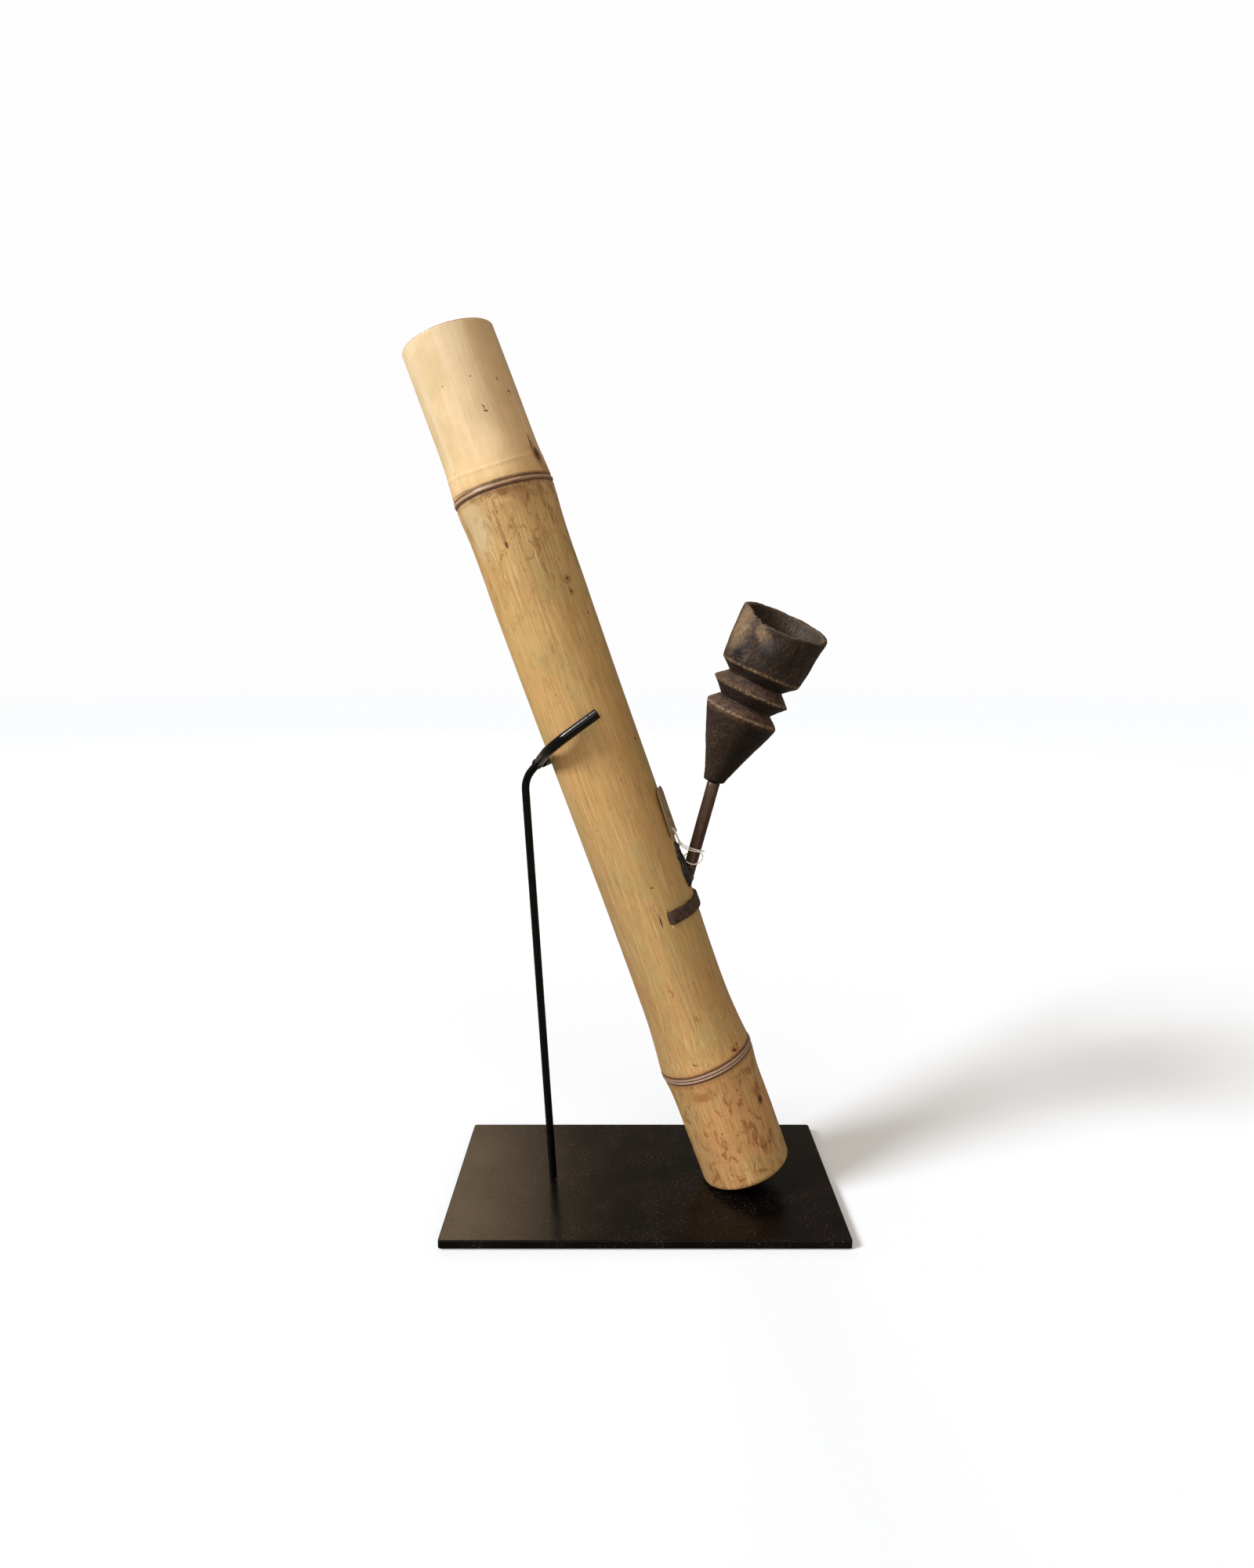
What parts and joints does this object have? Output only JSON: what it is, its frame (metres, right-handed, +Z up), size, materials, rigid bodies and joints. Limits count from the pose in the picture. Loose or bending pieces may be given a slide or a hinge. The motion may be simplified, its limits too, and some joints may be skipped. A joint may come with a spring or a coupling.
{
  "type": "bamboo water pipe on display stand",
  "caption": "Leaning bamboo water pipe with a turned wood bowl on a slim stem, held by a forked black rod on a flat steel display base.",
  "frame": {"origin": "centre of the stand's underside, on the surface it stands on", "axes": "+Z up, +X to the viewer's right along the base's long side, +Y away from the viewer; the culm leans towards -X"},
  "size_m": [0.27, 0.14, 0.5499],
  "materials": {
    "black_steel": "satin black, slightly speckled",
    "black_rod": "gloss black",
    "felt": "thin black felt",
    "clear_tubing": "clear soft tubing over the black prong",
    "screw_steel": "plain steel",
    "bamboo": "dry golden tan bamboo with brown fibre lines",
    "stem_wood": "dark brown polished cane",
    "bowl_wood": "dark worn turned wood",
    "resin": "black lumpy resin",
    "hide": "dry black-brown strap",
    "card": "plain buff card",
    "string": "white twisted cotton"
  },
  "bodies": {
    "stand": {"base_plate": "black_steel", "base_felt": "felt", "upright_rod": "black_rod", "rear_prong": "black_rod", "braze_fillet": "black_rod", "front_prong_sleeve": "clear_tubing", "rear_prong_sleeve": "clear_tubing", "foot_peg": "black_rod", "upright_screw": "screw_steel", "peg_screw": "screw_steel"},
    "pipe": {"bamboo_tube": "bamboo", "pipe_stem": "stem_wood", "resin_seal": "resin", "strap": "hide", "tag_string": "string", "string_knot": "string"},
    "bowl": {"pipe_bowl": "bowl_wood"},
    "tag": {"tag": "card"}
  },
  "joints": [
    {"name": "pipe_lift", "type": "slide", "parent": "stand", "child": "pipe", "axis": [0, 0, 1], "range_m": [0, 0.15]},
    {"name": "bowl_pull", "type": "slide", "parent": "pipe", "child": "bowl", "axis": [0.2571, 0, 0.9664], "range_m": [0, 0.03]},
    {"name": "tag_swing", "type": "hinge", "parent": "pipe", "child": "tag", "pos_m": [0.01797, -0.00617, 0.24566], "axis": [0.9218, -0.2079, 0.3272], "range_deg": [-20, 20]}
  ]
}
